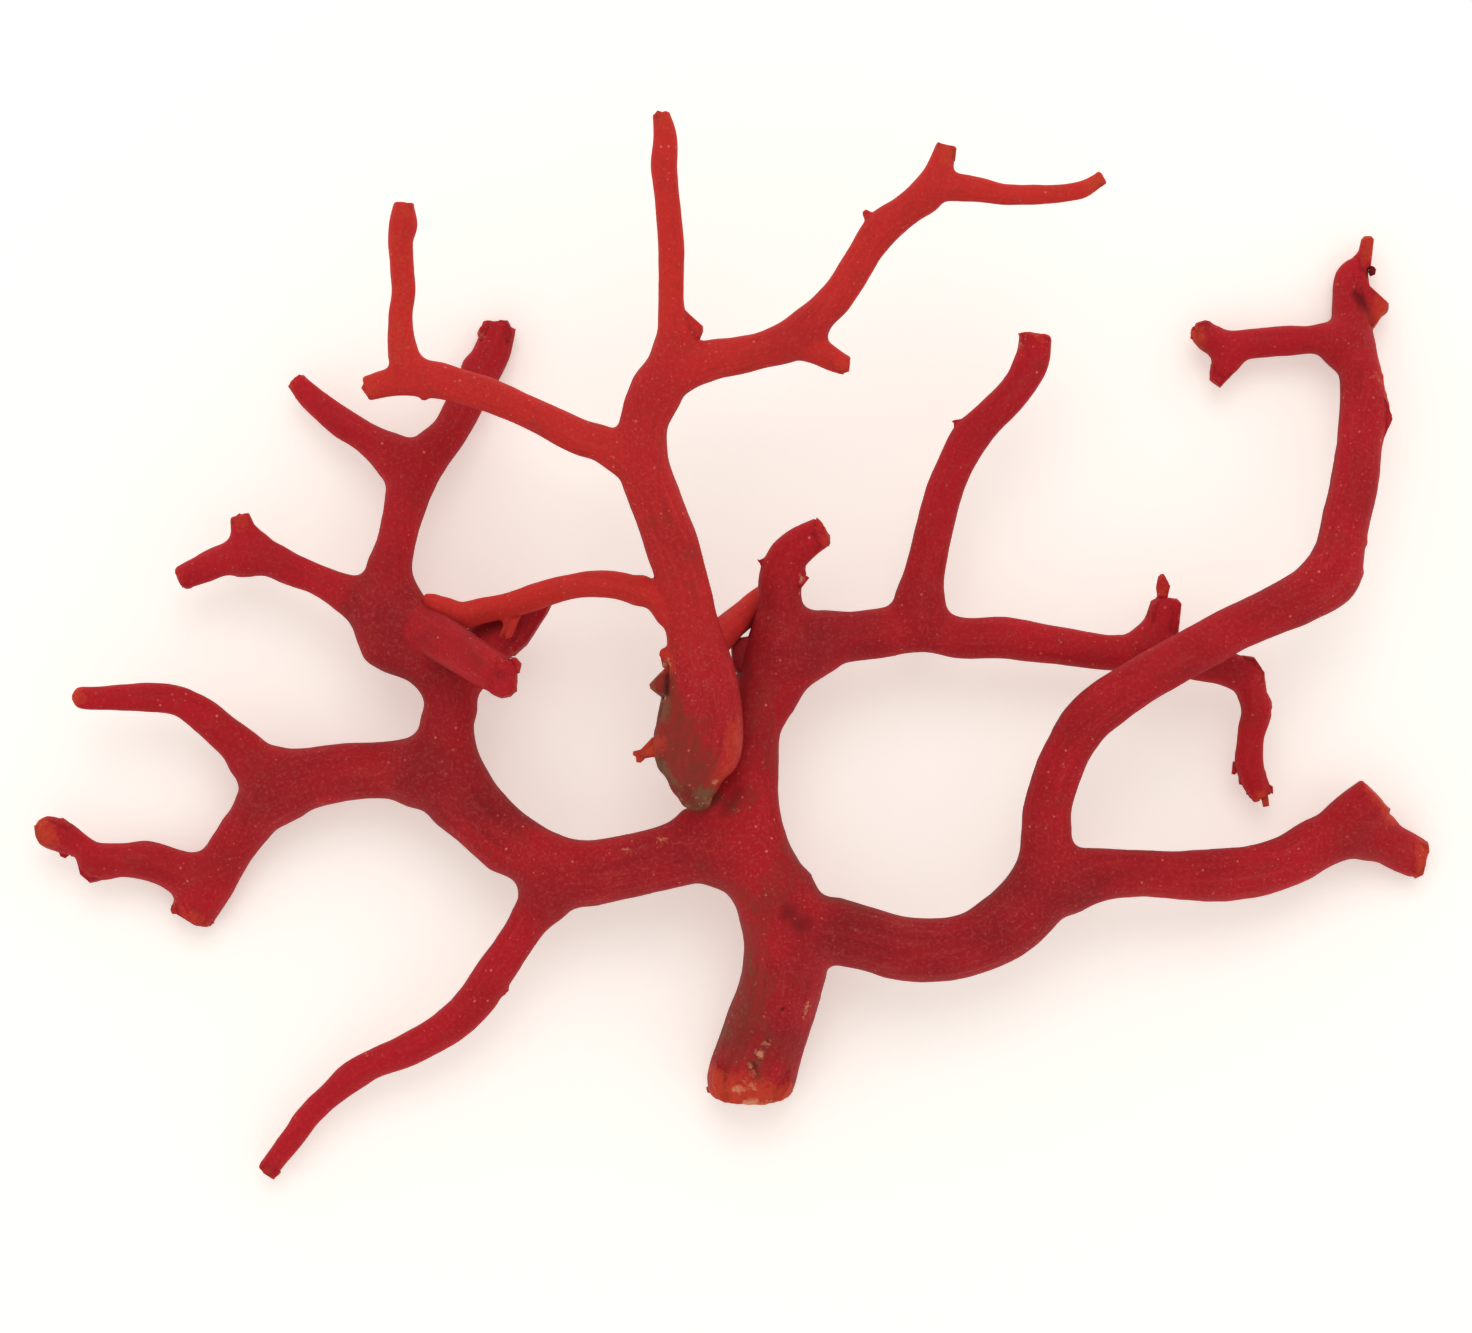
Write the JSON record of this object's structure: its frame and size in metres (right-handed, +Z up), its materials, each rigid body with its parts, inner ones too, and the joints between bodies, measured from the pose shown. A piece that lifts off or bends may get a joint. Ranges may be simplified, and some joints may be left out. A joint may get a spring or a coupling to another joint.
{
  "type": "coral branch",
  "caption": "Dried red coral fan lying flat: a thick sawn trunk forks into knobbly limbs and thin broken twigs, with a brighter growth lying locked across it.",
  "frame": {"origin": "under the middle of the whole fan, on the surface it lies on", "axes": "+Z up out of the surface, +Y from the sawn trunk towards the topmost twig, +X along the width of the fan towards the right-hand limb's side"},
  "size_m": [0.1928, 0.1439, 0.0372],
  "materials": {
    "dark_coral": "satin, dark crimson, finely grooved lengthwise",
    "bright_coral": "satin, brighter orange-red, finely grooved lengthwise"
  },
  "bodies": {
    "root": {"trunk": "dark_coral", "middle_limb": "dark_coral", "middle_right_branch": "dark_coral", "middle_upper_twig": "dark_coral", "left_limb": "dark_coral", "left_lower_branch": "dark_coral", "left_outer_branch": "dark_coral", "left_outer_upper_twig": "dark_coral", "left_outer_lower_twig": "dark_coral", "upper_left_branch": "dark_coral", "upper_left_side_twig": "dark_coral", "far_left_twig": "dark_coral", "forward_stub": "dark_coral", "lower_stub": "dark_coral", "right_limb": "dark_coral", "right_upper_branch": "dark_coral", "right_side_twig": "dark_coral", "right_outer_branch": "dark_coral", "bright_trunk": "bright_coral", "bright_upper_twig": "bright_coral", "bright_left_branch": "bright_coral", "bright_left_upper_twig": "bright_coral", "bright_right_branch": "bright_coral", "bright_right_twig": "bright_coral", "bright_lower_branch": "bright_coral", "bright_back_twig": "bright_coral"}
  },
  "joints": []
}
